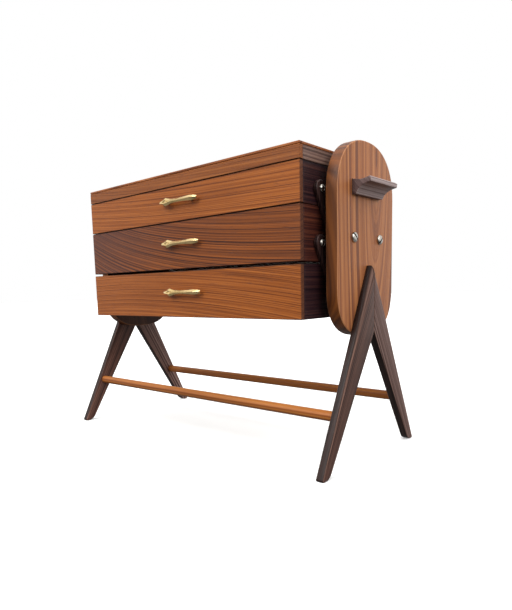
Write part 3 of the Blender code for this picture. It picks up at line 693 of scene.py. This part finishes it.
# The grip's section, out from the panel and up: a scooped top, a blunt lip, and a cove between a
# quarter ellipse and its chord. It is carried along the grip, drawn in at both ends by a small
# quarter circle.
def makeGrip(side, word):
    name = word + "_lift_handle"
    shape = gripShape
    low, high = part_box(name)
    start, height = min(abs(low.x), abs(high.x)), high.z - low.z
    t = np.linspace(0, 1, 14)
    top = np.stack((t * shape["lipIn"], -shape["scoop"] * np.sin(pi * t) ** 1.2), -1)
    turn = np.linspace(0, pi / 2, 16)
    coveOut, coveIn = shape["lipBase"] - 0.0015, shape["foot"]
    bowed = np.stack((1 - np.sin(turn), 1 - np.cos(turn)), -1)
    straight = np.linspace((1, 0), (0, 1), len(turn))
    curve = straight + (bowed - straight) * shape["coveBow"]
    coveDrop = height - shape["lipBottom"] - shape["footRound"]
    out, down = coveIn + (coveOut - coveIn) * curve[:, 0], -shape["lipBottom"] - coveDrop * curve[:, 1]
    cove = np.stack((out, down), -1)
    lip = np.array([
        (shape["lipOut"] - shape["lipRound"], -shape["lipDrop"] + shape["lipRound"]),
        (shape["lipOut"], -shape["lipDrop"]),
        (shape["lipBase"], -shape["lipBottom"] + 0.0004),
    ])
    base = np.array([(coveIn - shape["footRound"], -height), (0.0, -height)])
    outline = np.concatenate((top, lip, cove, base))[::-1]
    rows = roundedSlab(outline, low.y, high.y, shape["edge"], shape["edge"], 5)
    place = np.stack((side * (start + rows[..., 1]), rows[..., 0], high.z + rows[..., 2]), -1)
    piece = buildObject(word + "LiftHandle", [(place, ringFaces(len(rows), rows.shape[1]))])
    settle(piece, "root", "handleWoodPaintedLight", name)


for side, word in sides:
    makeGrip(side, word)
print("lift handles made")

dowelShape = {
    "radius": 0.0072, "tenon": 0.0050, "tenonLength": 0.0077, "shoulder": 0.0009, "endRound": 0.0006,
    "sides": 40,
}
for front, place in places:
    name = place + "_stretcher"
    low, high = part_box(name)
    shape, tip = dowelShape, high.x
    y, z = (low.y + high.y) / 2, (low.z + high.z) / 2
    shoulder = tip - shape["tenonLength"]
    half = [(shoulder - 0.02 * i, shape["radius"]) for i in range(12, 0, -1)]
    for a in np.linspace(0, pi / 2, 5):  # a quarter circle round the shoulder
        back, inwards = shape["shoulder"] * (1 - sin(a)), shape["shoulder"] * (1 - cos(a))
        half.append((shoulder - back, shape["radius"] - inwards))
    tenon, endRound = shape["tenon"], shape["endRound"]
    half += [(shoulder, tenon), (tip - endRound, tenon), (tip, tenon - endRound)]
    xs, radii = zip(*([(-x, r) for x, r in half[::-1]] + half))
    piece = buildObject(place + "Stretcher", [turnedRings(xs, radii, y, z, shape["sides"])])
    settle(piece, "root", "dowelWood", name)
print("stretchers made")

screwShapes = {
    "bolt": {
        "head": 0.0070, "height": 0.0038, "stem": 0.0030, "slot": 0.0022, "deep": 0.0028, "rim": 0.0010,
    },
    "screw": {
        "head": 0.0050, "height": 0.0034, "stem": 0.0025, "slot": 0.0014, "deep": 0.0018, "rim": 0.0006,
    },
}


headGrid = {"chords": 12, "points": 25}  # chords each side of the slot, and points on each


# A slotted domed head: chords across a disc, its height rim + (1 - r^2)^0.5 of the rest, and the
# slot's floor where a chord lies inside the slot. The chords stand in pairs at the slot's walls.
# Below the rim it is turned.
def makeScrew(name, side, body, kind, turn):
    shape = screwShapes[kind]
    low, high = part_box(name)
    y, z = (low.y + high.y) / 2, (low.z + high.z) / 2
    far, near = max(abs(low.x), abs(high.x)), min(abs(low.x), abs(high.x))
    seat = far - shape["height"]
    radius, wall = shape["head"], shape["slot"] / 2
    outside = wall + (radius - wall) * np.sin(np.linspace(0, pi / 2, headGrid["chords"]))
    across = np.concatenate((-outside[::-1], [-wall, 0, wall], outside))
    inSlot = np.concatenate((0 * outside, np.ones(3), 0 * outside))[:, None]
    share = np.sin(np.linspace(-pi / 2, pi / 2, headGrid["points"]))[None, :]
    chord = np.sqrt(np.maximum(radius ** 2 - across ** 2, 0))[:, None]
    u, v = across[:, None] + 0 * share, chord * share
    inward = np.clip(1 - (u ** 2 + v ** 2) / radius ** 2, 0, 1)
    dome = shape["rim"] + (shape["height"] - shape["rim"]) * inward ** 0.5
    up = np.where(inSlot > 0, np.minimum(dome, shape["height"] - shape["deep"]), dome)
    rows, columns = up.shape
    index = np.arange(rows * columns).reshape(rows, columns)
    quads = np.stack((index[:-1, :-1], index[1:, :-1], index[1:, 1:], index[:-1, 1:]), -1)
    faces = quads.reshape(-1, 4).tolist()
    rim = np.concatenate((index[:, -1], index[::-1, 0]))
    points = np.stack((u, v, up), -1).reshape(-1, 3)
    stem, end = shape["stem"], near - seat
    under, endRound = 0.0003, 0.0002  # bevels below the head and at the stem's end
    skirt = [(radius, under), (radius - under, 0.0), (stem, 0.0)]  # radius and height, down the stem
    skirt += [(stem, end + endRound), (stem - endRound, end)]
    ringAngle = np.arctan2(points[rim, 1], points[rim, 0])
    start = len(points)
    rings = [
        np.stack((r * np.cos(ringAngle), r * np.sin(ringAngle), 0 * ringAngle + h), -1) for r, h in skirt
    ]
    points = np.concatenate([points, *rings])
    loops = [rim] + [start + i * len(rim) + np.arange(len(rim)) for i in range(len(rings))]
    for above, below in zip(loops[:-1], loops[1:]):
        faces += np.stack((above, np.roll(above, -1), np.roll(below, -1), below), -1).tolist()
    faces.append(loops[-1].tolist())
    a = points[:, 0] * cos(turn) - points[:, 1] * sin(turn)
    b = points[:, 0] * sin(turn) + points[:, 1] * cos(turn)
    placed = np.stack((side * (seat + points[:, 2]), y + a, z + b), -1)
    title = "".join(w if i == 0 else w.capitalize() for i, w in enumerate(name.split("_")))
    piece = buildObject(title, [(placed, faces)])
    grime = np.zeros(len(points))
    grime[:up.size] = np.repeat(inSlot[:, 0], columns)
    piece.data.attributes.new("slotGrime", "FLOAT", "POINT").data.foreach_set("value", grime)
    weldPiece(piece)
    settle(piece, body, "nickelPlate", name, 40)


weldDistance = 0.000004


def weldPiece(piece):  # merges points that meet and turns all faces outwards
    shape = bmesh.new()
    shape.from_mesh(piece.data)
    bmesh.ops.remove_doubles(shape, verts=shape.verts, dist=weldDistance)
    bmesh.ops.dissolve_degenerate(shape, edges=shape.edges, dist=weldDistance / 4)
    bmesh.ops.recalc_face_normals(shape, faces=shape.faces)
    shape.to_mesh(piece.data)
    shape.free()


slotTurns = {"front_left": 0.8, "rear_left": -0.6, "front_right": 0.8, "rear_right": -0.75}
for place, turn in slotTurns.items():
    side = 1 if place.endswith("right") else -1
    makeScrew("frame_bolt_" + place, side, "root", "bolt", turn)
    for i, (box, body) in enumerate(boxBodies):
        makeScrew(f"{box}_screw_{place}", side, body, "screw", turn + 0.9 * (i + 1))
print("screws and bolts made")

pullShape = {
    "length": 0.0860, "post": 0.0024, "postInset": 0.0160, "depth": 0.0034, "bend": 0.0042,
    "stations": (0.0, 0.02, 0.20, 0.35, 0.50, 0.70, 0.85, 0.94, 1.0),
    "halfWidths": (0.0008, 0.0022, 0.0062, 0.0034, 0.0028, 0.0031, 0.0039, 0.0034, 0.0022),
    "crowns": (0.0016, 0.0022, 0.0028, 0.0026, 0.0024, 0.0025, 0.0028, 0.0025, 0.0016),
    "facets": (2.0, 1.8, 1.7, 1.4, 1.3, 1.2, 1.15, 1.15, 1.2),
    "dent": 0.0013, "dentPlace": 0.22, "dentLength": 0.10, "dentWidth": 0.48, "dentWalls": 2.5,
    "backArch": 0.35, "postFlare": 1.25, "flare": (0.0012, 0.0008), "postSides": 28, "frontPoints": 33,
}


# A cast pull along X. Half width and crown come from stations along it. Its front is a ridge cut
# flat: crown times the lesser of 1 and facet times (1 - |v|), less a diamond dent on the head,
# 1 - |s'| - |v'| deep. Its back is a shallow arch, and both ends bend towards the board by bend
# times (2s - 1)^4.
def makePull(name, body):
    shape = pullShape
    low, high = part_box(name)
    front, back = low.y, high.y
    z, left = (low.z + high.z) / 2, low.x
    s = np.concatenate((np.linspace(0, 0.20, 20)[:-1], np.linspace(0.20, 1, 64)))
    keys = ("halfWidths", "crowns", "facets")
    width, crown, facet = (np.interp(s, shape["stations"], shape[key])[:, None] for key in keys)
    count = shape["frontPoints"]
    v = np.concatenate((np.linspace(-1, 1, count), np.linspace(1, -1, 13)[1:-1]))[None, :]
    isFront = (np.arange(v.size) < count)[None, :]
    along = np.abs(s[:, None] - shape["dentPlace"]) / shape["dentLength"]
    diamond = 1 - along - np.abs(v) / shape["dentWidth"]
    ridge = np.minimum(1, facet * (1 - np.abs(v)) + 0.02)
    middle = front + shape["depth"] + shape["bend"] * (2 * s[:, None] - 1) ** 4
    out = middle - crown * ridge + shape["dent"] * np.clip(diamond * shape["dentWalls"], 0, 1)
    out = np.where(isFront, out, middle + shape["backArch"] * crown * (1 - v ** 2))
    rows = np.stack((left + s[:, None] * shape["length"] + 0 * v, out, z + width * v), -1)
    title = name.replace("_b", "B").replace("_t", "T").replace("_p", "P")
    piece = buildObject(title, [(rows, ringFaces(len(rows), v.size))])
    for x in (left + shape["postInset"], left + shape["length"] - shape["postInset"]):
        angle = np.arange(shape["postSides"]) * 2 * pi / shape["postSides"]
        flareFrom, flareTo = shape["flare"]
        ys = np.array([front + shape["depth"], back - flareFrom, back - flareTo, back])[:, None]
        radii = np.array([1, 1, shape["postFlare"], shape["postFlare"]])[:, None] * shape["post"]
        post = np.stack((x + radii * np.cos(angle), ys + 0 * angle, z + radii * np.sin(angle)), -1)
        joinShape(piece, buildObject("post", [(post, ringFaces(len(ys), shape["postSides"]))]))
    settle(piece, body, "agedBrass", name, 24)


for box, body in boxBodies:
    makePull(box + "_pull", body)
print("pulls made")

# Finishes of the pieces that keep their own shape: the first part of a name that fits is used
keptFinishes = (
    ("_lever_", "leverWoodPaintedShade"),
    ("lid_board", "lidBoardWood"), ("lid_front_rail", "lidWood"), ("lid_rear_rail", "backWood"),
    ("top_tray_front", "topFrontWood"), ("middle_box_front", "middleFrontWood"),
    ("bottom_box_front", "bottomFrontWood"), ("_rear", "backWood"),
    ("middle_box_left_end", "middleEndWoodPaintedShade"), ("middle_box_right_end", "middleEndWoodPaintedShade"),
    ("_end", "endWoodPaintedShade"), ("_rail", "lidEndWood"), ("_floor", "plywood"),
    ("hinge_pin", "nickelPlate"), ("hinge", "hingeBrass"),
)
for name, node in nodes.items():
    if node.hide_render:
        continue
    finishName = next(title for key, title in keptFinishes if key in name)
    node.data.materials.clear()
    node.data.materials.append(finishes[finishName])
print("kept pieces finished")

studio = {
    "floorSize": 30.0, "floorColour": (0.93, 0.93, 0.92), "floorLight": (0.95, 0.95, 0.945),
    "floorGlow": 0.17,
    "sky": 1.0, "ground": 0.28, "dimBelow": (-0.25, -0.02),
    "front": (0.37, -0.93), "dimFrom": (0.10, 0.60), "dimTo": 0.25,  # the sky is dimmer towards the front
    "lights": {
        "keyLight": {"strength": 2.6, "angle": 40, "turn": (52, 0, -18)},
        "fillLight": {"strength": 1.5, "angle": 50, "turn": (60, 0, 75)},
        "topLight": {"strength": 1.0, "angle": 60, "turn": (0, 0, 0)},
    },
}
view = {
    "place": (0.6481, -0.6806, 0.2511), "yaw": 41.459, "pitch": -7.5606, "roll": -1.4067,
    "lens": 30.97, "shiftX": 0.0092, "shiftY": 0.0887,
}


def makeStudio():
    half = studio["floorSize"] / 2
    floor = buildFloor(half)
    floor.visible_diffuse = floor.visible_glossy = False  # the floor throws no light back up
    world = bpy.data.worlds.new("studio")
    world.use_nodes = True
    tree = world.node_tree
    tree.nodes["Background"].inputs["Color"].default_value = (1, 1, 1, 1)
    split = tree.nodes.new("ShaderNodeSeparateXYZ")
    feed(tree, tree.nodes.new("ShaderNodeTexCoord").outputs["Generated"], split.inputs[0])
    ground, low, high = studio["ground"], *studio["dimBelow"]
    upper = spread(tree, split.outputs[2], low, high, ground, studio["sky"], True)
    toFront = calc(tree, "MULTIPLY", split.outputs[1], studio["front"][1])
    toFront = calc(tree, "ADD", toFront, calc(tree, "MULTIPLY", split.outputs[0], studio["front"][0]))
    dim = spread(tree, toFront, *studio["dimFrom"], 1.0, studio["dimTo"], True)
    seen = tree.nodes.new("ShaderNodeLightPath").outputs["Is Camera Ray"]
    light = calc(tree, "MAXIMUM", calc(tree, "MULTIPLY", upper, dim), seen)
    feed(tree, light, tree.nodes["Background"].inputs["Strength"])
    bpy.context.scene.world = world
    for name, setting in studio["lights"].items():
        lamp = bpy.data.objects.new(name, bpy.data.lights.new(name, "SUN"))
        lamp.data.energy = setting["strength"]
        lamp.data.angle = radians(setting["angle"])
        lamp.rotation_euler = [radians(a) for a in setting["turn"]]
        bpy.context.scene.collection.objects.link(lamp)
    camera = bpy.data.objects.new("camera", bpy.data.cameras.new("camera"))
    camera.data.lens = view["lens"]
    camera.data.shift_x, camera.data.shift_y = view["shiftX"], view["shiftY"]
    camera.data.clip_start = 0.01
    yaw = Matrix.Rotation(radians(view["yaw"]), 4, "Z")
    pitch = Matrix.Rotation(radians(90 + view["pitch"]), 4, "X")
    roll = Matrix.Rotation(radians(view["roll"]), 4, "Z")
    camera.matrix_world = Matrix.Translation(view["place"]) @ yaw @ pitch @ roll
    bpy.context.scene.collection.objects.link(camera)
    bpy.context.scene.camera = camera
    bpy.context.scene.view_settings.view_transform = "Standard"


def buildFloor(half):
    mesh = bpy.data.meshes.new("floor")
    corners = [(-half, -half, 0), (half, -half, 0), (half, half, 0), (-half, half, 0)]
    mesh.from_pydata(corners, [], [(0, 1, 2, 3)])
    floor = bpy.data.objects.new("floor", mesh)
    bpy.context.scene.collection.objects.link(floor)
    material, tree, shader, place = startMaterial("paleFloor")
    mottle = noise(tree, place, 9.0, 3.0, 0.5)
    colour = blendColour(tree, mottle, (*studio["floorColour"], 1), (*studio["floorLight"], 1))
    feed(tree, colour, shader.inputs["Base Color"])
    shader.inputs["Roughness"].default_value = 0.7
    shader.inputs["Emission Color"].default_value = (1, 1, 1, 1)
    shader.inputs["Emission Strength"].default_value = studio["floorGlow"]
    mesh.materials.append(material)
    return floor


makeStudio()
print("studio ready")
